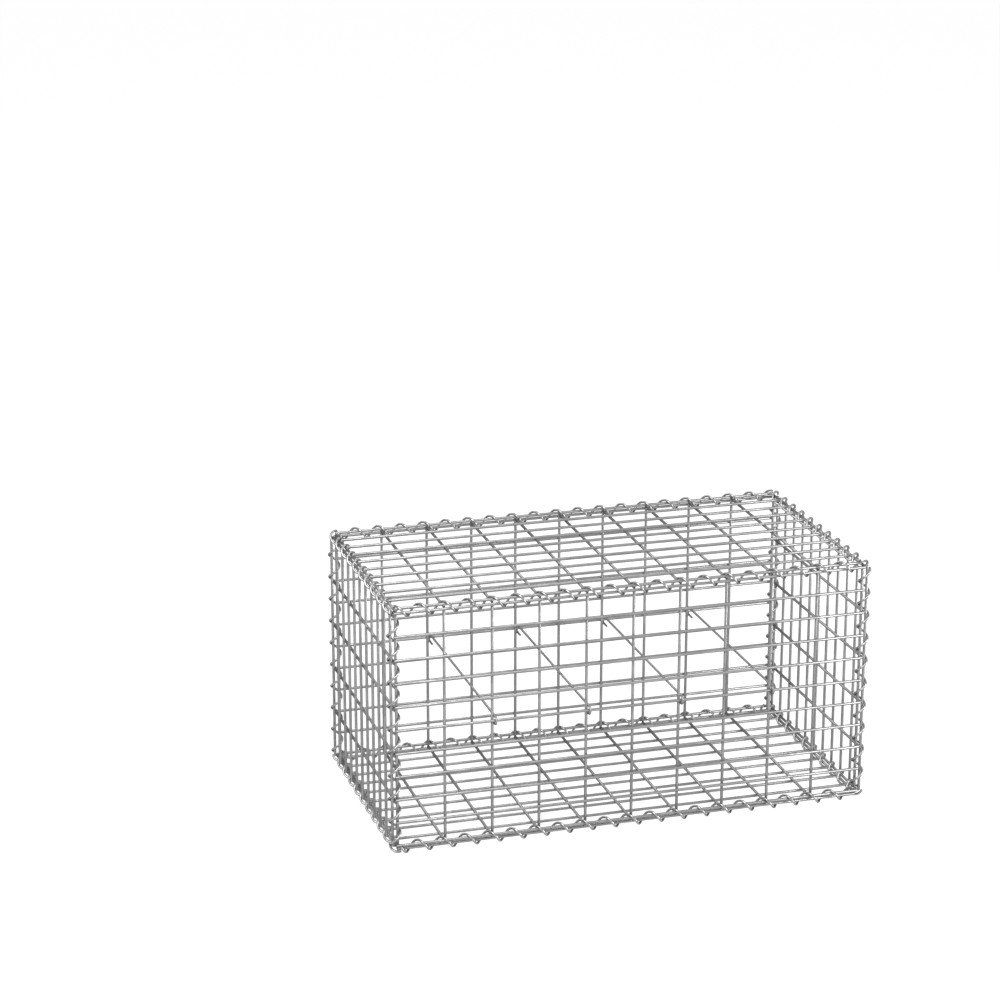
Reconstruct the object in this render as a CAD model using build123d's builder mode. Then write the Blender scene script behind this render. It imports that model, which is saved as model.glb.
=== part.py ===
"""Gabion basket of welded wire mesh, laced along every edge by spiral binders.

Six flat mesh panels, twelve spirals and four tie wires stand as one empty basket.
X runs along the basket, the front looks towards -Y, and the ground is at Z = 0.
"""
from build123d import *
import math
import os

# Basket, between the centre-lines of its corner wires (mm)
basket_length = 1000.0
basket_depth = 500.0
basket_height = 500.0

# Mesh: the long side of a cell (mm), the short cells beside it, and the turns of a spiral along it
mesh_cell = 100.0
rows_per_cell = 2
turns_per_cell = 2

# Wires (mm): the square mesh bars have the section of a round wire of 6 mm,
# and sink into each other where they are welded
mesh_wire = 5.3
weld_sink = 0.9
spiral_wire = 4.5
tie_wire = 4.4
wall_overhang = 2.5
clearance = 0.3

# Spiral binders: straight runs in one turn, sides of the wire,
# and where the strand passes a mesh wire, as an angle from the wall's outer side
runs_per_turn = 6
spiral_sides = 3
top_strand = 100.0
bottom_strand = -47.0
end_strand = 47.0
front_left_strand = 74.0
front_right_strand = 106.0

# Tie wires: cells from one to the next, and the hooks at their ends (mm)
cells_per_tie = 2
tie_leg_rise = 8.4
tie_tail = 20.0
hook_runs = 4

# Whole cells that fill each panel, and the steps from wire to wire
cells_along = round(basket_length / mesh_cell)
end_cells_high = round(basket_height / mesh_cell)
cells_high = rows_per_cell * end_cells_high
cells_deep = rows_per_cell * round(basket_depth / mesh_cell)
step_along = basket_length / cells_along
step_deep = basket_depth / cells_deep
step_high = basket_height / cells_high

# Middle planes of the wire layers, outside the nominal box
layer_step = mesh_wire - weld_sink
wall_inner = clearance
wall_outer = wall_inner + layer_step
end_inner = mesh_wire + clearance
end_outer = end_inner + layer_step
lid_inner = layer_step + clearance
lid_outer = lid_inner + layer_step

# Half of the angle that one run takes up in a turn
half_run = math.pi / runs_per_turn


def turn_angle(wires, turned):
    """Angle of a corner of the turn: on the line through both wires, or turned square to it."""
    first, second = wires
    line = math.atan2(first[1] - second[1], first[0] - second[0])
    return line + math.pi / 2 if turned else line


def run_normals(wires, turned):
    """Directions square to the spiral's runs, in the order that they follow in a turn."""
    first_corner = turn_angle(wires, turned)
    angles = [first_corner + half_run * (2 * run + 1) for run in range(runs_per_turn)]
    return [(math.cos(angle), math.sin(angle)) for angle in angles]


def bar_corners(wires):
    """Corners of the two square edge bars, measured from the point midway between them."""
    first, second = wires
    middle = ((first[0] + second[0]) / 2, (first[1] + second[1]) / 2)
    half = mesh_wire / 2
    return [
        (wire[0] - middle[0] + half * side, wire[1] - middle[1] + half * end)
        for wire in wires
        for side in (-1, 1)
        for end in (-1, 1)
    ]


def reach(corner, normal):
    return corner[0] * normal[0] + corner[1] * normal[1]


# Places of the two wires that meet at each kind of edge, outwards from the nominal box
long_edge_wires = ((wall_outer, 0), (0, lid_outer))
end_edge_wires = ((end_inner, 0), (0, lid_inner))
corner_edge_wires = ((wall_inner, 0), (0, end_outer))

# The spirals are sized by the long edges, where the two wires lie furthest apart
spiral_bore = max(
    reach(corner, normal)
    for corner in bar_corners(long_edge_wires)
    for normal in run_normals(long_edge_wires, False)
)
spiral_run_radius = spiral_bore + clearance + spiral_wire / 2
spiral_radius = spiral_run_radius / math.cos(half_run)
spiral_outer = (spiral_run_radius + spiral_wire / 2) / math.cos(half_run)


def spiral_centre(wires, turned):
    """Middle of the spiral, drawn inwards until its runs bear on both edge wires."""
    first, second = wires
    apart = math.dist(first, second)
    outward = ((second[1] - first[1]) / apart, (first[0] - second[0]) / apart)
    shift = min(
        (spiral_bore - reach(corner, normal)) / reach(outward, normal)
        for corner in bar_corners(wires)
        for normal in run_normals(wires, turned)
        if reach(outward, normal) > math.sin(half_run) / 2
    )
    return (
        (first[0] + second[0]) / 2 - outward[0] * shift,
        (first[1] + second[1]) / 2 - outward[1] * shift,
    )


long_centre = spiral_centre(long_edge_wires, False)
end_centre = spiral_centre(end_edge_wires, True)

# Spirals stop short of each other at the corners of the basket
spiral_end_room = spiral_outer + spiral_wire / 2 + clearance
long_spiral_reach = basket_length / 2 - spiral_wire / 2
end_spiral_reach = basket_depth / 2 + long_centre[0] - spiral_end_room
corner_spiral_reach = basket_height / 2 + end_centre[1] - spiral_end_room

os.makedirs("parts", exist_ok=True)


def welded_panel(outward, along, outer_length, inner_length, inner_gaps, outer_gaps, inner_layer, overhang):
    """A mesh panel: a layer of wires towards the inside, and one across them outside."""
    inner_plane = Plane(origin=(0, 0, 0), x_dir=along, z_dir=outward).offset(inner_layer - mesh_wire / 2)
    with BuildPart() as panel:
        with BuildSketch(inner_plane):
            with GridLocations(outer_length / inner_gaps, 0, inner_gaps + 1, 1):
                Rectangle(mesh_wire, inner_length + mesh_wire - 2 * weld_sink)
        extrude(amount=mesh_wire)
        with BuildSketch(inner_plane.offset(layer_step)):
            with GridLocations(0, inner_length / outer_gaps, 1, outer_gaps + 1):
                Rectangle(outer_length + mesh_wire + 2 * overhang, mesh_wire)
        extrude(amount=mesh_wire)
    return panel


def spiral_binder(edge, wires, turned, pitch, half_length, strand):
    """A right-handed spiral round the two wires of an edge.

    The edge plane has its origin at the middle of the edge and its normal along it.
    """
    axis = edge.shift_origin(edge.from_local_coords(spiral_centre(wires, turned)))
    start = turn_angle(wires, turned) - math.radians(strand)
    turns = half_length / pitch
    first_run = math.ceil(-turns * runs_per_turn - start / (2 * half_run))
    last_run = math.floor(turns * runs_per_turn - start / (2 * half_run))
    corners = []
    for run in range(first_run, last_run + 1):
        past_wire = start + 2 * half_run * run
        angle = past_wire + math.radians(strand)
        across = (spiral_radius * math.cos(angle), spiral_radius * math.sin(angle))
        corners.append(axis.from_local_coords((*across, pitch * past_wire / (2 * math.pi))))
    with BuildPart() as spiral:
        with BuildLine() as coil:
            Polyline(*corners)
        with BuildSketch(Plane(origin=coil.line @ 0, x_dir=axis.z_dir, z_dir=coil.line % 0)):
            RegularPolygon(spiral_wire / 2, spiral_sides)
        sweep(path=coil.line, transition=Transition.RIGHT)
    return spiral


def tie(column):
    """A tie across the basket, hooked over the middle wire of both long walls."""
    mesh_wire_place = column * step_along - basket_length / 2
    place = mesh_wire_place + mesh_wire / 2 + clearance + tie_wire / 2
    slope = math.pi / (2 * hook_runs)
    bar_reach = mesh_wire / 2 * (math.cos(slope) + math.sin(slope))
    seat = (bar_reach + clearance + tie_wire / 2) / math.cos(slope)
    bend = basket_depth / 2 + wall_outer + seat - tie_leg_rise
    hook = [
        (
            bend + tie_leg_rise * math.sin(math.pi * run / hook_runs),
            tie_leg_rise * math.cos(math.pi * run / hook_runs),
        )
        for run in range(hook_runs + 1)
    ]
    hook.append((bend - tie_tail, -tie_leg_rise))
    route = [(-along, rise) for along, rise in reversed(hook)] + hook
    with BuildPart() as wire:
        with BuildLine() as line:
            Polyline(*[(place, along, rise) for along, rise in route])
        with BuildSketch(Plane(origin=line.line @ 0, x_dir=(1, 0, 0), z_dir=line.line % 0)):
            Rectangle(tie_wire, tie_wire)
        sweep(path=line.line, transition=Transition.RIGHT)
    return wire


pieces = {}

for name, outward in (("front_panel", -1), ("back_panel", 1)):
    pieces[name] = welded_panel(
        (0, outward, 0), (1, 0, 0), basket_length, basket_height,
        cells_along, cells_high, basket_depth / 2 + wall_inner, wall_overhang,
    )
for name, outward in (("left_panel", -1), ("right_panel", 1)):
    pieces[name] = welded_panel(
        (outward, 0, 0), (0, 0, 1), basket_height, basket_depth,
        end_cells_high, cells_deep, basket_length / 2 + end_inner, -weld_sink - clearance,
    )
for name, outward in (("base_panel", -1), ("lid_panel", 1)):
    pieces[name] = welded_panel(
        (0, 0, outward), (1, 0, 0), basket_length, basket_depth,
        cells_along, cells_deep, basket_height / 2 + lid_inner, -weld_sink - clearance,
    )

for level, up, strand in (("top", 1, top_strand), ("bottom", -1, bottom_strand)):
    edge_height = up * basket_height / 2
    for wall, out in (("front", -1), ("back", 1)):
        edge = Plane(
            origin=(0, out * basket_depth / 2, edge_height), x_dir=(0, out, 0), z_dir=(out * up, 0, 0)
        )
        pieces[f"{wall}_{level}_spiral"] = spiral_binder(
            edge, long_edge_wires, False, step_along / turns_per_cell, long_spiral_reach, strand
        )
    for end, out in (("left", -1), ("right", 1)):
        edge = Plane(
            origin=(out * basket_length / 2, 0, edge_height), x_dir=(out, 0, 0), z_dir=(0, -out * up, 0)
        )
        pieces[f"{end}_{level}_spiral"] = spiral_binder(
            edge, end_edge_wires, True, step_deep, end_spiral_reach, end_strand
        )

for wall, out in (("front", -1), ("back", 1)):
    for end, side in (("left", -1), ("right", 1)):
        edge = Plane(
            origin=(side * basket_length / 2, out * basket_depth / 2, 0),
            x_dir=(0, out, 0),
            z_dir=(0, 0, -out * side),
        )
        strand = front_left_strand if out == side else front_right_strand
        pieces[f"{wall}_{end}_spiral"] = spiral_binder(
            edge, corner_edge_wires, False, step_high, corner_spiral_reach, strand
        )

for number, column in enumerate(range(cells_per_tie, cells_along, cells_per_tie), start=1):
    pieces[f"tie_wire_{number}"] = tie(column)

# The basket stands on its long bottom spirals
ground = Location((0, 0, -pieces["front_bottom_spiral"].part.bounding_box().min.Z))
for name, piece in pieces.items():
    standing = piece.part.moved(ground)
    standing.label = name
    export_step(standing, f"parts/{name}.step")
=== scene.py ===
"""Looks of a gabion basket: round galvanised wires, welds, spiral binders and hooked tie wires."""
import math

import bpy
from mathutils import Matrix, Vector


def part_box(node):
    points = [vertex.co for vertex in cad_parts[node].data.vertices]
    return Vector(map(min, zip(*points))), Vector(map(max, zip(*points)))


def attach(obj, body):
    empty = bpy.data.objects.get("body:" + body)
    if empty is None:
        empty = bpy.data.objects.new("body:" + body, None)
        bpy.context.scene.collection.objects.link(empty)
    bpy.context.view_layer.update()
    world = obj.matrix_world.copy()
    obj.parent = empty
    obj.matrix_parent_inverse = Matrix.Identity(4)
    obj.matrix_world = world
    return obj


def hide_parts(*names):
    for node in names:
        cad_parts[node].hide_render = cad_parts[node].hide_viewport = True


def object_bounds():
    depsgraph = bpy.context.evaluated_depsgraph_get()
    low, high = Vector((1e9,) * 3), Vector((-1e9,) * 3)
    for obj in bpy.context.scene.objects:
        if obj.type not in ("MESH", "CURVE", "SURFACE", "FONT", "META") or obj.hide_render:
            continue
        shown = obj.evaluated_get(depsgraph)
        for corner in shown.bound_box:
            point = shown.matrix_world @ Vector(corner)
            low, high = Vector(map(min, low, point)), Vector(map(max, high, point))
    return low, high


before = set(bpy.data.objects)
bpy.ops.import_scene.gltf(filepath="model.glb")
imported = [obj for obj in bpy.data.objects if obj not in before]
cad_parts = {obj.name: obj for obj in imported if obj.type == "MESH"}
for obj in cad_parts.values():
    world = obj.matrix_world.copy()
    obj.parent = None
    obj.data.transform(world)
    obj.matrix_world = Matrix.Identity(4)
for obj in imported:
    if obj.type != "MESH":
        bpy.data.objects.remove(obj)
cad_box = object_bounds()
middle = (cad_box[0] + cad_box[1]) / 2

bl_info = {
    "name": "Gabion Basket",
    "version": (1, 0, 0),
    "blender": (4, 5, 0),
    "location": "View3D > Sidebar > Gabion",
    "description": "Builds the welded mesh, spiral binders and tie wires of a gabion basket",
    "category": "Add Mesh",
}

BODY = "root"

X = Vector((1, 0, 0))
Y = Vector((0, 1, 0))
Z = Vector((0, 0, 1))

# Where each spiral's strand passes the middle of its edge, as an angle in degrees
# from the outside of the first panel that the edge is named after
STRANDS = {
    "front_top": 97, "back_top": 124, "left_top": 65, "right_top": 66,
    "front_bottom": -49, "back_bottom": -49, "left_bottom": 65, "right_bottom": 42,
    "front_left": 124, "front_right": 118, "back_left": -6, "back_right": 78,
}

# Facets of the round shapes
WIRE_SIDES = 14
SPIRAL_SIDES = 12
SPIRAL_STEPS = 36
BEND_STEPS = 9
NUGGET_SEGMENTS = 10
NUGGET_RINGS = 6

# Points along a straight wire, two at each chamfer, and the corners of a face on a wire's side
LINE_POINTS = 4
SIDE_CORNERS = 4

# Seeds of the pieces' tones: how many each panel takes, and where those of spirals and ties start
PANEL_SEEDS = 10
SPIRAL_SEED = 100
TIE_SEED = 200

# Shares of a wire's diameter: the chamfer of its cut end and the weld nugget between two wires
CHAMFER_LENGTH_SHARE = 0.12
CHAMFER_WIDTH_SHARE = 0.16
NUGGET_SHARE = 0.54
NUGGET_HEIGHT_SHARE = 0.75

# How much longer than wide the marks on the zinc are, and how fine they go
CLOUD_STRETCH = 5.0
LINE_STRETCH = 50.0
NOISE_DETAIL = 3.0

# Ranges of the noise in which bloom and specks come up, and how much of each shows
BLOOM_RANGE = (0.36, 0.66)
SPECK_RANGE = (0.62, 0.76)
TONE_SHARE = 0.06
SPECK_SHARE = 0.5
CUT_SHARE = 0.85
LINE_RELIEF_SHARE = 0.6


class GabionSizes(bpy.types.PropertyGroup):
    """Sizes of the wires and how they are laid."""

    cell_length: bpy.props.FloatProperty(
        name="Cell length", description="Long side of a mesh cell", default=0.1, unit="LENGTH")
    cell_width: bpy.props.FloatProperty(
        name="Cell width", description="Short side of a mesh cell", default=0.05, unit="LENGTH")
    mesh_wire: bpy.props.FloatProperty(
        name="Mesh wire", description="Diameter of the welded wires", default=0.006, unit="LENGTH")
    weld_sink: bpy.props.FloatProperty(
        name="Weld sink", description="How far crossing wires sink into each other",
        default=0.0015, unit="LENGTH")
    wire_end: bpy.props.FloatProperty(
        name="Wire end", description="End of a wire past the middle of its last weld",
        default=0.0012, unit="LENGTH")
    wall_end: bpy.props.FloatProperty(
        name="Wall wire end", description="End of a long wall wire past the middle of its last weld",
        default=0.0045, unit="LENGTH")
    seat_gap: bpy.props.FloatProperty(
        name="Seat gap", description="Play between panels that lie against each other",
        default=0.0002, unit="LENGTH")
    spiral_wire: bpy.props.FloatProperty(
        name="Spiral wire", description="Diameter of the spiral wire", default=0.005, unit="LENGTH")
    spiral_radius: bpy.props.FloatProperty(
        name="Spiral radius", description="From a spiral's axis to the middle of its wire",
        default=0.0109, unit="LENGTH")
    spiral_pitch: bpy.props.FloatProperty(
        name="Spiral pitch", description="Length of one turn", default=0.05, unit="LENGTH")
    corner_room: bpy.props.FloatProperty(
        name="Corner room", description="What long and upright spirals leave free at each end",
        default=0.003, unit="LENGTH")
    deep_overrun: bpy.props.FloatProperty(
        name="Deep overrun", description="How far the spirals along the depth run past each corner",
        default=0.009, unit="LENGTH")
    tie_wire: bpy.props.FloatProperty(
        name="Tie wire", description="Diameter of the tie wires", default=0.005, unit="LENGTH")
    tie_hook: bpy.props.FloatProperty(
        name="Tie hook", description="Bend radius of the hook at a tie's end",
        default=0.0084, unit="LENGTH")
    tie_tail: bpy.props.FloatProperty(
        name="Tie tail", description="Length of the tail after the hook", default=0.02, unit="LENGTH")
    cells_per_tie: bpy.props.IntProperty(
        name="Cells per tie", description="Cells from one tie wire to the next", default=2)


class GabionFinish(bpy.types.PropertyGroup):
    """The zinc coat."""

    bright_zinc: bpy.props.FloatVectorProperty(
        name="Bright zinc", description="Clean zinc of the mesh",
        default=(0.42, 0.42, 0.42), subtype="COLOR")
    spiral_zinc: bpy.props.FloatVectorProperty(
        name="Spiral zinc", description="Clean zinc of the spirals",
        default=(0.38, 0.38, 0.38), subtype="COLOR")
    dull_zinc: bpy.props.FloatVectorProperty(
        name="Dull zinc", description="Zinc under its grey bloom",
        default=(0.32, 0.32, 0.32), subtype="COLOR")
    bare_steel: bpy.props.FloatVectorProperty(
        name="Bare steel", description="Cut face of a wire", default=(0.12, 0.12, 0.12), subtype="COLOR")
    rim_tint: bpy.props.FloatVectorProperty(
        name="Rim tint", description="Tint of what the metal mirrors at its rims",
        default=(0.1, 0.1, 0.1), subtype="COLOR")
    metal: bpy.props.FloatProperty(
        name="Metal", description="Share of the coat that mirrors like bare metal",
        default=0.5, subtype="FACTOR")
    spiral_metal: bpy.props.FloatProperty(
        name="Spiral metal", description="Share of the spirals' coat that mirrors like bare metal",
        default=0.95, subtype="FACTOR")
    roughness: bpy.props.FloatProperty(
        name="Roughness", description="Roughness of clean zinc", default=0.17, subtype="FACTOR")
    bloom_roughness: bpy.props.FloatProperty(
        name="Bloom roughness", description="What the grey bloom adds to the roughness",
        default=0.12, subtype="FACTOR")
    cloud_size: bpy.props.FloatProperty(
        name="Cloud size", description="Width of the patches of bloom", default=0.006, unit="LENGTH")
    line_size: bpy.props.FloatProperty(
        name="Line size", description="Width of the drawing lines", default=0.0004, unit="LENGTH")
    speck_size: bpy.props.FloatProperty(
        name="Speck size", description="Width of the zinc specks", default=0.0007, unit="LENGTH")
    relief: bpy.props.FloatProperty(
        name="Relief", description="Height of lines and specks", default=0.0002, unit="LENGTH")
    relief_strength: bpy.props.FloatProperty(
        name="Relief strength", description="How much lines and specks show",
        default=0.2, subtype="FACTOR")
    wire_spread: bpy.props.FloatProperty(
        name="Wire spread", description="How far apart the marks of two wires are taken",
        default=5.0, unit="LENGTH")


class GabionStudio(bpy.types.PropertyGroup):
    """Camera, floor and light, placed from the middle of the basket."""

    camera_place: bpy.props.FloatVectorProperty(
        name="Camera place", description="Where the camera stands",
        default=(-1.863945, -5.580974, 2.223689), subtype="TRANSLATION", unit="LENGTH")
    camera_aim: bpy.props.FloatVectorProperty(
        name="Camera aim", description="Direction of the camera's view",
        default=(0.27102836, 0.91412642, -0.30152366), subtype="DIRECTION")
    camera_lens: bpy.props.FloatProperty(
        name="Camera lens", description="Focal length on a sensor of 36 mm",
        default=106.173, unit="CAMERA")
    floor_size: bpy.props.FloatProperty(
        name="Floor size", description="Side of the square floor", default=80.0, unit="LENGTH")
    floor_shade: bpy.props.FloatProperty(
        name="Floor shade", description="Share of the floor's white that shadows can darken",
        default=0.3, subtype="FACTOR")
    floor_glow: bpy.props.FloatProperty(
        name="Floor glow", description="White of the floor where it is seen", default=0.955)
    ambient: bpy.props.FloatProperty(
        name="Ambient light", description="Strength of the light from all round", default=0.12)
    lamp_size: bpy.props.FloatProperty(
        name="Lamp size", description="Side of the square lamps", default=2.0, unit="LENGTH")
    right_light: bpy.props.FloatProperty(
        name="Right light", description="Power of the low lamp on the right",
        default=105.0, unit="POWER")
    right_place: bpy.props.FloatVectorProperty(
        name="Right place", description="Where the low lamp on the right stands",
        default=(3.57, -2.1, 0.67), subtype="TRANSLATION", unit="LENGTH")
    top_light: bpy.props.FloatProperty(
        name="Top light", description="Power of the lamp above", default=42.0, unit="POWER")
    top_place: bpy.props.FloatVectorProperty(
        name="Top place", description="Where the lamp above hangs",
        default=(-0.6, -1.9, 3.7), subtype="TRANSLATION", unit="LENGTH")
    left_light: bpy.props.FloatProperty(
        name="Left light", description="Power of the lamp on the left", default=70.0, unit="POWER")
    left_place: bpy.props.FloatVectorProperty(
        name="Left place", description="Where the lamp on the left stands",
        default=(-2.0, -2.3, 2.86), subtype="TRANSLATION", unit="LENGTH")
    back_light: bpy.props.FloatProperty(
        name="Back light", description="Power of the lamp behind the basket", default=40.0, unit="POWER")
    back_place: bpy.props.FloatVectorProperty(
        name="Back place", description="Where the lamp behind the basket stands",
        default=(-0.42, 3.15, 2.73), subtype="TRANSLATION", unit="LENGTH")


class Flow:
    """A socket of a node tree, on which arithmetic adds Math nodes."""

    def __init__(self, tree, socket=None):
        self.tree = tree
        self.socket = socket

    def node(self, kind, settings=None, values=None, output=None):
        """Add a node, set it up, fill or link its sockets, and return one of its outputs."""
        node = self.tree.nodes.new(kind)
        for name, setting in (settings or {}).items():
            if isinstance(setting, list):
                for item in setting:
                    getattr(node, name).new(*item)
            else:
                setattr(node, name, setting)
        for name, value in (values or {}).items():
            if isinstance(name, int):
                socket = node.inputs[name]
            else:
                socket = next(found for found in node.inputs if found.name == name and found.enabled)
            if isinstance(value, Flow):
                self.tree.links.new(value.socket, socket)
            else:
                socket.default_value = value
        offered = [found for found in node.outputs if found.enabled and output in (None, found.name)]
        return Flow(self.tree, offered[0] if offered else None)

    def other(self, output):
        """Another output of the same node."""
        return Flow(self.tree, self.socket.node.outputs[output])

    def math(self, operation, *terms):
        return self.node("ShaderNodeMath", {"operation": operation}, dict(enumerate(terms)))

    def vector(self, operation, *terms):
        return self.node("ShaderNodeVectorMath", {"operation": operation}, dict(enumerate(terms)))

    def along(self, axis, length):
        """A vector of a length along one axis."""
        return self.node("ShaderNodeCombineXYZ", {}, {axis: length})

    def __add__(self, term):
        return self.math("ADD", self, term)

    def __sub__(self, term):
        return self.math("SUBTRACT", self, term)

    def __mul__(self, term):
        return self.math("MULTIPLY", self, term)

    def __truediv__(self, term):
        return self.math("DIVIDE", self, term)

    def __rsub__(self, term):
        return self.math("SUBTRACT", term, self)

    def __neg__(self):
        return self.math("MULTIPLY", self, -1.0)

    __radd__ = __add__
    __rmul__ = __mul__


# Zinc

def attribute(start, name, output):
    return start.node("ShaderNodeAttribute", {"attribute_name": name}, output=output)


def noise(start, place, size, stretch):
    """Noise of a size across the wire, stretched along it."""
    squeezed = start.vector("MULTIPLY", place, (1, 1, 1 / stretch))
    return start.node("ShaderNodeTexNoise", {}, {
        "Vector": squeezed, "Scale": 1 / size, "Detail": NOISE_DETAIL})


def rise(start, value, limits):
    """Rises smoothly from 0 to 1 between two limits of a value."""
    low, high = limits
    return start.node("ShaderNodeMapRange", {"interpolation_type": "SMOOTHSTEP"},
                      {"Value": value, "From Min": low, "From Max": high})


def blend(start, colour_a, colour_b, factor):
    return start.node("ShaderNodeMix", {"data_type": "RGBA"},
                      {"Factor": factor, "A": colour_a, "B": colour_b}, "Result")


def zinc(name, bright, metal):
    """Galvanised wire: drawing lines, a cloudy grey bloom, fine specks and dark cut ends."""
    finish = bpy.context.scene.gabion_finish
    material = bpy.data.materials.new(name)
    material.use_nodes = True
    material.node_tree.nodes.clear()
    start = Flow(material.node_tree)
    dull = (*finish.dull_zinc, 1)
    tone = attribute(start, "wire_tone", "Fac")
    apart = start.along("Z", tone * finish.wire_spread)
    own_place = start.vector("ADD", attribute(start, "grain", "Vector"), apart)
    clouds = noise(start, own_place, finish.cloud_size, CLOUD_STRETCH)
    lines = noise(start, own_place, finish.line_size, LINE_STRETCH)
    specks = noise(start, own_place, finish.speck_size, 1.0)
    bloom = rise(start, clouds + tone * TONE_SHARE, BLOOM_RANGE)
    colour = blend(start, (*bright, 1), dull, bloom)
    colour = blend(start, colour, dull, rise(start, specks, SPECK_RANGE) * SPECK_SHARE)
    colour = blend(start, colour, (*finish.bare_steel, 1), attribute(start, "cut_end", "Fac") * CUT_SHARE)
    bump = start.node("ShaderNodeBump", {}, {
        "Strength": finish.relief_strength, "Distance": finish.relief,
        "Height": lines * LINE_RELIEF_SHARE + specks * (1 - LINE_RELIEF_SHARE)})
    shader = start.node("ShaderNodeBsdfPrincipled", {}, {
        "Base Color": colour, "Metallic": metal, "Specular Tint": (*finish.rim_tint, 1), "Normal": bump,
        "Specular IOR Level": 0.0, "Roughness": bloom * finish.bloom_roughness + finish.roughness})
    start.node("ShaderNodeOutputMaterial", {}, {"Surface": shader})
    return material


# Wires by Geometry Nodes

def new_tree(name, inputs):
    """An empty geometry tree with named inputs, and a flow from each of them."""
    tree = bpy.data.node_groups.new(name, "GeometryNodeTree")
    for label, kind in inputs:
        tree.interface.new_socket(label, in_out="INPUT", socket_type=f"NodeSocket{kind}")
    tree.interface.new_socket("Geometry", in_out="OUTPUT", socket_type="NodeSocketGeometry")
    entry = tree.nodes.new("NodeGroupInput")
    return tree, {label: Flow(tree, entry.outputs[label]) for label, _ in inputs}


def stored(geometry, name, value, kind="FLOAT", domain="POINT"):
    """Geometry with a named attribute."""
    return geometry.node("GeometryNodeStoreNamedAttribute", {"data_type": kind, "domain": domain},
                         {"Geometry": geometry, "Name": name, "Value": value})


def round_wire_tree():
    """A wire with a round section, chamfered cut ends and a grain that runs along it."""
    tree, given = new_tree("round_wire", (("Curve", "Geometry"), ("Diameter", "Float"), ("Sides", "Int")))
    curve, diameter = given["Curve"], given["Diameter"]
    length = curve.node("GeometryNodeSplineParameter", output="Length")
    ends = curve.node("GeometryNodeCurveEndpointSelection")
    run = curve.node("GeometryNodeCaptureAttribute", {"capture_items": [("FLOAT", "Along")]},
                     {"Geometry": curve, "Along": length})
    circle = curve.node("GeometryNodeCurvePrimitiveCircle", {},
                        {"Resolution": given["Sides"], "Radius": diameter / 2})
    section = curve.node("GeometryNodeCaptureAttribute", {"capture_items": [("VECTOR", "Around")]},
                         {"Geometry": circle, "Around": curve.node("GeometryNodeInputPosition")})
    tube = curve.node("GeometryNodeCurveToMesh", {}, {
        "Curve": run, "Profile Curve": section, "Scale": 1 - ends * CHAMFER_WIDTH_SHARE, "Fill Caps": True})
    around = curve.node("ShaderNodeSeparateXYZ", {}, {"Vector": section.other("Around")})
    grain = curve.node("ShaderNodeCombineXYZ", {}, {
        "X": around, "Y": around.other("Y"), "Z": run.other("Along")})
    tube = stored(tube, "grain", grain, "FLOAT_VECTOR")
    corners = curve.node("GeometryNodeInputMeshFaceNeighbors", output="Vertex Count")
    capped = curve.math("GREATER_THAN", corners, SIDE_CORNERS)
    tube = stored(tube, "cut_end", capped, domain="FACE")
    smoothed = curve.node("GeometryNodeSetShadeSmooth", {}, {"Geometry": tube, "Shade Smooth": 1 - capped})
    curve.node("NodeGroupOutput", {}, {"Geometry": smoothed})
    return tree


def finished(geometry, finish):
    """Ends a tree: real geometry with its material."""
    real = geometry.node("GeometryNodeRealizeInstances", {}, {"Geometry": geometry})
    dressed = geometry.node("GeometryNodeSetMaterial", {}, {"Geometry": real, "Material": finish})
    geometry.node("NodeGroupOutput", {}, {"Geometry": dressed})


def toned(instances, seed):
    """Gives each instance a tone of its own."""
    chance = instances.node("FunctionNodeRandomValue", {"data_type": "FLOAT"},
                            {"Min": -1.0, "Max": 1.0, "Seed": seed})
    return stored(instances, "wire_tone", chance, domain="INSTANCE")


def straight_wires(start, round_wire, run_axis, half_run, side_axis, span, gaps, height, wire):
    """A layer of equal straight wires side by side."""
    line = start.node("GeometryNodeCurvePrimitiveLine", {}, {
        "Start": start.along(run_axis, -half_run), "End": start.along(run_axis, half_run)})
    line = start.node("GeometryNodeResampleCurve", {"mode": "COUNT"}, {"Curve": line, "Count": LINE_POINTS})
    ends = start.node("GeometryNodeCurveEndpointSelection")
    side = start.vector("SIGN", start.node("GeometryNodeInputPosition"))
    chamfered = start.node("ShaderNodeVectorMath", {"operation": "SCALE"}, {
        0: side, "Scale": half_run - wire * CHAMFER_LENGTH_SHARE})
    line = start.node("GeometryNodeSetPosition", {},
                      {"Geometry": line, "Selection": 1 - ends, "Position": chamfered})
    drawn = start.node("GeometryNodeGroup", {"node_tree": round_wire},
                       {"Curve": line, "Diameter": wire, "Sides": WIRE_SIDES})
    first = start.node("ShaderNodeCombineXYZ", {}, {side_axis: span / -2, "Z": height})
    row = start.node("GeometryNodeMeshLine", {"mode": "OFFSET"}, {
        "Count": gaps + 1, "Start Location": first, "Offset": start.along(side_axis, span / gaps)})
    return start.node("GeometryNodeInstanceOnPoints", {}, {"Points": row, "Instance": drawn})


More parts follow.
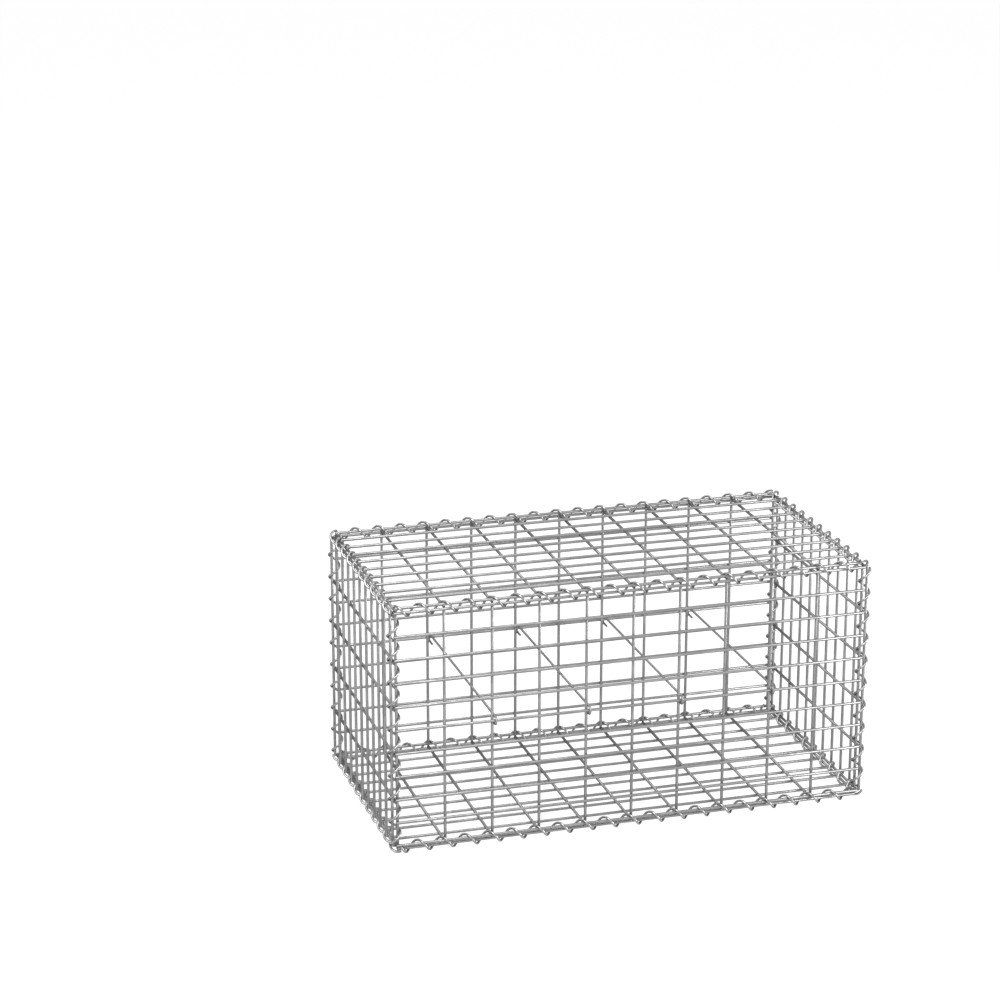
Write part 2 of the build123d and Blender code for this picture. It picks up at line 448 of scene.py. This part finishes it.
def welded_panel_tree(round_wire):
    """A mesh panel: wires along local X outside, wires along local Y inside, a weld at each crossing."""
    tree, given = new_tree("welded_panel", (
        ("Span X", "Float"), ("Span Y", "Float"), ("Gaps X", "Int"), ("Gaps Y", "Int"), ("Wire", "Float"),
        ("Layer", "Float"), ("Outer end", "Float"), ("Inner end", "Float"), ("Seed", "Int"),
        ("Finish", "Material")))
    start = Flow(tree)
    span_x, span_y, wire = given["Span X"], given["Span Y"], given["Wire"]
    outer = straight_wires(
        start, round_wire, "X", span_x / 2 + given["Outer end"], "Y", span_y, given["Gaps Y"],
        given["Layer"], wire)
    inner = straight_wires(
        start, round_wire, "Y", span_y / 2 + given["Inner end"], "X", span_x, given["Gaps X"],
        -given["Layer"], wire)
    crossings = start.node("GeometryNodeMeshGrid", {}, {
        "Size X": span_x, "Vertices X": given["Gaps X"] + 1,
        "Size Y": span_y, "Vertices Y": given["Gaps Y"] + 1})
    nugget = start.node("GeometryNodeMeshUVSphere", {}, {
        "Segments": NUGGET_SEGMENTS, "Rings": NUGGET_RINGS, "Radius": wire * NUGGET_SHARE})
    nugget = stored(nugget, "grain", start.node("GeometryNodeInputPosition"), "FLOAT_VECTOR")
    nugget = start.node("GeometryNodeSetShadeSmooth", {}, {"Geometry": nugget})
    welds = start.node("GeometryNodeInstanceOnPoints", {}, {
        "Points": crossings, "Instance": nugget, "Scale": (1, 1, NUGGET_HEIGHT_SHARE)})
    layers = start.node("GeometryNodeJoinGeometry")
    joint = layers.socket.node.inputs["Geometry"]
    for shift, part in enumerate((outer, inner, welds)):
        tree.links.new(toned(part, given["Seed"] + shift).socket, joint)
    finished(layers, given["Finish"])
    return tree


def spiral_tree(round_wire):
    """A right-handed spiral about local Z, whose strand passes local X at the middle of its length."""
    tree, given = new_tree("spiral_binder", (
        ("Radius", "Float"), ("Pitch", "Float"), ("Length", "Float"), ("Wire", "Float"), ("Seed", "Int"),
        ("Finish", "Material")))
    start = Flow(tree)
    radius, length = given["Radius"], given["Length"]
    turns = length / given["Pitch"]
    coil = start.node("GeometryNodeCurveSpiral", {}, {
        "Resolution": SPIRAL_STEPS, "Rotations": turns, "Start Radius": radius, "End Radius": radius,
        "Height": length, "Reverse": True})
    coil = start.node("GeometryNodeTransform", {}, {
        "Geometry": coil, "Translation": start.along("Z", length / -2),
        "Rotation": start.along("Z", turns * -math.pi)})
    wire = start.node("GeometryNodeGroup", {"node_tree": round_wire},
                      {"Curve": coil, "Diameter": given["Wire"], "Sides": SPIRAL_SIDES})
    single = start.node("GeometryNodeGeometryToInstance", {}, {"Geometry": wire})
    finished(toned(single, given["Seed"]), given["Finish"])
    return tree


def tie_tree(round_wire):
    """A tie wire along a path of straight legs, with its corners bent round."""
    tree, given = new_tree("tie_wire", (
        ("Path", "Geometry"), ("Bend", "Float"), ("Wire", "Float"), ("Seed", "Int"),
        ("Finish", "Material")))
    start = Flow(tree)
    bent = start.node("GeometryNodeFilletCurve", {"mode": "POLY"}, {
        "Curve": given["Path"], "Count": BEND_STEPS, "Radius": given["Bend"], "Limit Radius": True})
    wire = start.node("GeometryNodeGroup", {"node_tree": round_wire},
                      {"Curve": bent, "Diameter": given["Wire"], "Sides": WIRE_SIDES})
    single = start.node("GeometryNodeGeometryToInstance", {}, {"Geometry": wire})
    finished(toned(single, given["Seed"]), given["Finish"])
    return tree


def tree_of(name, make, *parts):
    """The tree of that name, made once."""
    return bpy.data.node_groups.get(name) or make(*parts)


def wire_tree():
    return tree_of("round_wire", round_wire_tree)


def placed(x_axis, y_axis, origin):
    """Matrix from a piece's own axes to the basket's."""
    turn = Matrix((x_axis, y_axis, x_axis.cross(y_axis))).transposed()
    return Matrix.Translation(origin) @ turn.to_4x4()


def wrought(node, name, tree, values, place, path=None):
    """Builds a piece by its tree, sets it in place as a plain mesh and lets it stand for a solid."""
    carrier = bpy.data.objects.new(name, path or bpy.data.meshes.new(name))
    bpy.context.scene.collection.objects.link(carrier)
    modifier = carrier.modifiers.new(name, "NODES")
    modifier.node_group = tree
    for item in tree.interface.items_tree:
        if item.in_out == "INPUT" and item.name in values:
            modifier[item.identifier] = values[item.name]
    evaluated = carrier.evaluated_get(bpy.context.evaluated_depsgraph_get())
    mesh = bpy.data.meshes.new_from_object(evaluated)
    bpy.data.objects.remove(carrier)
    if not mesh.polygons:
        raise RuntimeError(f"{name} came out empty")
    mesh.transform(place)
    mesh.name = name
    piece = bpy.data.objects.new(name, mesh)
    bpy.context.scene.collection.objects.link(piece)
    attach(piece, BODY)
    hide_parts(node)


# The basket

def whole_cells(length, cell):
    """Length of the whole cells that fill a length."""
    return round(length / cell) * cell


class Lattice:
    """The box between the corner wires, and how far outside it each layer of wires lies."""

    def __init__(self, sizes):
        lid_low, lid_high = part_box("lid_panel")
        wall_low, wall_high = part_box("front_panel")
        self.half = Vector((
            whole_cells(lid_high.x - lid_low.x, sizes.cell_length),
            whole_cells(lid_high.y - lid_low.y, sizes.cell_width),
            whole_cells(wall_high.z - wall_low.z, sizes.cell_width))) / 2
        self.step = sizes.mesh_wire - sizes.weld_sink
        self.wall_inner = sizes.seat_gap
        self.wall_outer = self.wall_inner + self.step
        self.end_inner = sizes.mesh_wire + sizes.seat_gap
        self.end_outer = self.end_inner + self.step
        self.lid_inner = sizes.wire_end + sizes.mesh_wire / 2 + sizes.seat_gap


class GABION_OT_mesh_panels(bpy.types.Operator):
    """Build the six welded mesh panels"""

    bl_idname = "gabion.mesh_panels"
    bl_label = "Mesh Panels"

    def execute(self, context):
        sizes = context.scene.gabion_sizes
        lattice = Lattice(sizes)
        half = lattice.half
        tree = tree_of("welded_panel", welded_panel_tree, wire_tree())
        finish = context.scene.gabion_finish
        coat = zinc("mesh_zinc", finish.bright_zinc, finish.metal)
        walls = (half.x, half.z, sizes.wall_end, half.y + lattice.wall_inner)
        ends = (half.z, half.y, sizes.wire_end, half.x + lattice.end_inner)
        lids = (half.x, half.y, sizes.wire_end, half.z + lattice.lid_inner)
        panels = (
            ("front_panel", -Y, X, walls), ("back_panel", Y, X, walls),
            ("left_panel", -X, Z, ends), ("right_panel", X, Z, ends),
            ("base_panel", -Z, X, lids), ("lid_panel", Z, X, lids))
        for number, (node, outward, along, (half_x, half_y, outer_end, inner)) in enumerate(panels):
            values = {
                "Span X": half_x * 2, "Span Y": half_y * 2,
                "Gaps X": round(half_x * 2 / sizes.cell_length),
                "Gaps Y": round(half_y * 2 / sizes.cell_width),
                "Wire": sizes.mesh_wire, "Layer": lattice.step / 2,
                "Outer end": outer_end, "Inner end": sizes.wire_end,
                "Seed": PANEL_SEEDS * number, "Finish": coat}
            place = placed(along, outward.cross(along), middle + outward * (inner + lattice.step / 2))
            wrought(node, f"{node}_wires", tree, values, place)
        return {"FINISHED"}


class GABION_OT_spiral_binders(bpy.types.Operator):
    """Build the twelve spirals that lace the edges"""

    bl_idname = "gabion.spiral_binders"
    bl_label = "Spiral Binders"

    def execute(self, context):
        sizes = context.scene.gabion_sizes
        lattice = Lattice(sizes)
        half = lattice.half
        tree = tree_of("spiral_binder", spiral_tree, wire_tree())
        finish = context.scene.gabion_finish
        coat = zinc("spiral_zinc", finish.spiral_zinc, finish.spiral_metal)
        on_ground = middle.z - half.z - sizes.spiral_radius - sizes.spiral_wire / 2
        long_edge = (lattice.wall_outer / 2, on_ground, (half.x - sizes.corner_room) * 2)
        deep_edge = (lattice.end_inner / 2, lattice.lid_inner / 2, (half.y + sizes.deep_overrun) * 2)
        upright_edge = (lattice.wall_inner / 2, lattice.end_outer / 2, (half.z - sizes.corner_room) * 2)
        edges = []
        for level, up in (("top", Z), ("bottom", -Z)):
            for wall, out in (("front", -Y), ("back", Y)):
                edges.append((f"{wall}_{level}", out, up, long_edge))
            for end, out in (("left", -X), ("right", X)):
                edges.append((f"{end}_{level}", out, up, deep_edge))
        for wall, out in (("front", -Y), ("back", Y)):
            for end, sideways in (("left", -X), ("right", X)):
                edges.append((f"{wall}_{end}", out, sideways, upright_edge))
        for number, (edge, first, second, (first_shift, second_shift, length)) in enumerate(edges):
            strand = math.radians(STRANDS[edge])
            axis = first.cross(second)
            corner = Vector([reach * (a + b) for reach, a, b in zip(half, first, second)])
            origin = middle + corner + first * first_shift + second * second_shift
            towards = first * math.cos(strand) + second * math.sin(strand)
            values = {
                "Radius": sizes.spiral_radius, "Pitch": sizes.spiral_pitch, "Length": length,
                "Wire": sizes.spiral_wire, "Seed": SPIRAL_SEED + number, "Finish": coat}
            place = placed(towards, axis.cross(towards), origin)
            wrought(f"{edge}_spiral", f"{edge}_spiral_coil", tree, values, place)
        return {"FINISHED"}


class GABION_OT_tie_wires(bpy.types.Operator):
    """Build the tie wires that brace the long walls"""

    bl_idname = "gabion.tie_wires"
    bl_label = "Tie Wires"

    def execute(self, context):
        sizes = context.scene.gabion_sizes
        lattice = Lattice(sizes)
        tree = tree_of("tie_wire", tie_tree, wire_tree())
        finish = context.scene.gabion_finish
        coat = zinc("tie_zinc", finish.bright_zinc, finish.metal)
        touch = (sizes.mesh_wire + sizes.tie_wire + sizes.seat_gap) / 2
        reach = lattice.half.y + lattice.wall_outer + touch
        tail = reach - sizes.tie_hook - sizes.tie_tail
        corners = [(-tail, -1), (-reach, -1), (-reach, 1), (reach, 1), (reach, -1), (tail, -1)]
        cells = round(lattice.half.x * 2 / sizes.cell_length)
        columns = range(sizes.cells_per_tie, cells, sizes.cells_per_tie)
        for number, column in enumerate(columns, start=1):
            node = f"tie_wire_{number}"
            path = bpy.data.curves.new(node, "CURVE")
            path.dimensions = "3D"
            spline = path.splines.new("POLY")
            spline.points.add(len(corners) - 1)
            for point, (along, side) in zip(spline.points, corners):
                point.co = (0, along, side * sizes.tie_hook, 1)
            values = {
                "Bend": sizes.tie_hook, "Wire": sizes.tie_wire, "Seed": TIE_SEED + number, "Finish": coat}
            origin = middle + X * (column * sizes.cell_length - lattice.half.x + touch)
            wrought(node, f"{node}_hooked", tree, values, placed(X, Y, origin), path)
        return {"FINISHED"}


class GABION_OT_studio(bpy.types.Operator):
    """Set up the floor, the light and the camera"""

    bl_idname = "gabion.studio"
    bl_label = "Studio"

    def execute(self, context):
        scene = context.scene
        studio = scene.gabion_studio
        scene.view_settings.view_transform = "Standard"
        self.floor(scene, studio)
        self.world(scene, studio)
        for side in ("right", "top", "left", "back"):
            power, place = getattr(studio, f"{side}_light"), getattr(studio, f"{side}_place")
            self.lamp(scene, studio, f"{side}_light", power, Vector(place))
        camera = bpy.data.cameras.new("camera")
        camera.lens = studio.camera_lens
        camera.clip_end = studio.floor_size * 2
        holder = bpy.data.objects.new("camera", camera)
        holder.location = middle + Vector(studio.camera_place)
        holder.rotation_euler = Vector(studio.camera_aim).to_track_quat("-Z", "Y").to_euler()
        scene.collection.objects.link(holder)
        scene.camera = holder
        return {"FINISHED"}

    def seen(self, start):
        """One for rays that show the background: from the camera, mirrored or through glass."""
        path = start.node("ShaderNodeLightPath", output="Is Camera Ray")
        mirrored = start.math("MAXIMUM", path, path.other("Is Glossy Ray"))
        return start.math("MAXIMUM", mirrored, path.other("Is Transmission Ray"))

    def floor(self, scene, studio):
        half = studio.floor_size / 2
        mesh = bpy.data.meshes.new("floor")
        corners = [(-half, -half, 0), (half, -half, 0), (half, half, 0), (-half, half, 0)]
        mesh.from_pydata(corners, [], [(0, 1, 2, 3)])
        material = bpy.data.materials.new("floor_white")
        material.use_nodes = True
        material.node_tree.nodes.clear()
        start = Flow(material.node_tree)
        matt = start.node("ShaderNodeBsdfDiffuse", {}, {"Color": (*[studio.floor_shade] * 3, 1)})
        glow = start.node("ShaderNodeEmission", {}, {"Strength": self.seen(start) * studio.floor_glow})
        both = start.node("ShaderNodeAddShader", {}, {0: matt, 1: glow})
        start.node("ShaderNodeOutputMaterial", {}, {"Surface": both})
        mesh.materials.append(material)
        floor = bpy.data.objects.new("floor", mesh)
        scene.collection.objects.link(floor)

    def world(self, scene, studio):
        world = bpy.data.worlds.new("studio")
        world.use_nodes = True
        world.node_tree.nodes.clear()
        start = Flow(world.node_tree)
        strength = self.seen(start) * (1 - studio.ambient) + studio.ambient
        light = start.node("ShaderNodeBackground", {}, {"Color": (1, 1, 1, 1), "Strength": strength})
        start.node("ShaderNodeOutputWorld", {}, {"Surface": light})
        scene.world = world

    def lamp(self, scene, studio, name, power, place):
        light = bpy.data.lights.new(name, "AREA")
        light.energy = power
        light.size = studio.lamp_size
        holder = bpy.data.objects.new(name, light)
        holder.location = middle + place
        holder.rotation_euler = (-place).to_track_quat("-Z", "Y").to_euler()
        scene.collection.objects.link(holder)


class GABION_PT_basket(bpy.types.Panel):
    """Lists the sizes and the steps that build the basket"""

    bl_idname = "GABION_PT_basket"
    bl_label = "Gabion Basket"
    bl_space_type = "VIEW_3D"
    bl_region_type = "UI"
    bl_category = "Gabion"

    def draw(self, context):
        for group in (context.scene.gabion_sizes, context.scene.gabion_finish, context.scene.gabion_studio):
            for name in group.__annotations__:
                self.layout.prop(group, name)
        for step in STEPS:
            self.layout.operator(step.bl_idname)


STEPS = (GABION_OT_mesh_panels, GABION_OT_spiral_binders, GABION_OT_tie_wires, GABION_OT_studio)
GROUPS = {"gabion_sizes": GabionSizes, "gabion_finish": GabionFinish, "gabion_studio": GabionStudio}


def register():
    for group in (*GROUPS.values(), *STEPS, GABION_PT_basket):
        bpy.utils.register_class(group)
    for name, group in GROUPS.items():
        setattr(bpy.types.Scene, name, bpy.props.PointerProperty(type=group))


def unregister():
    for name in GROUPS:
        delattr(bpy.types.Scene, name)
    for group in (GABION_PT_basket, *STEPS, *GROUPS.values()):
        bpy.utils.unregister_class(group)


def main():
    register()
    bpy.ops.gabion.mesh_panels()
    bpy.ops.gabion.spiral_binders()
    bpy.ops.gabion.tie_wires()
    bpy.ops.gabion.studio()


if __name__ == "__main__":
    main()
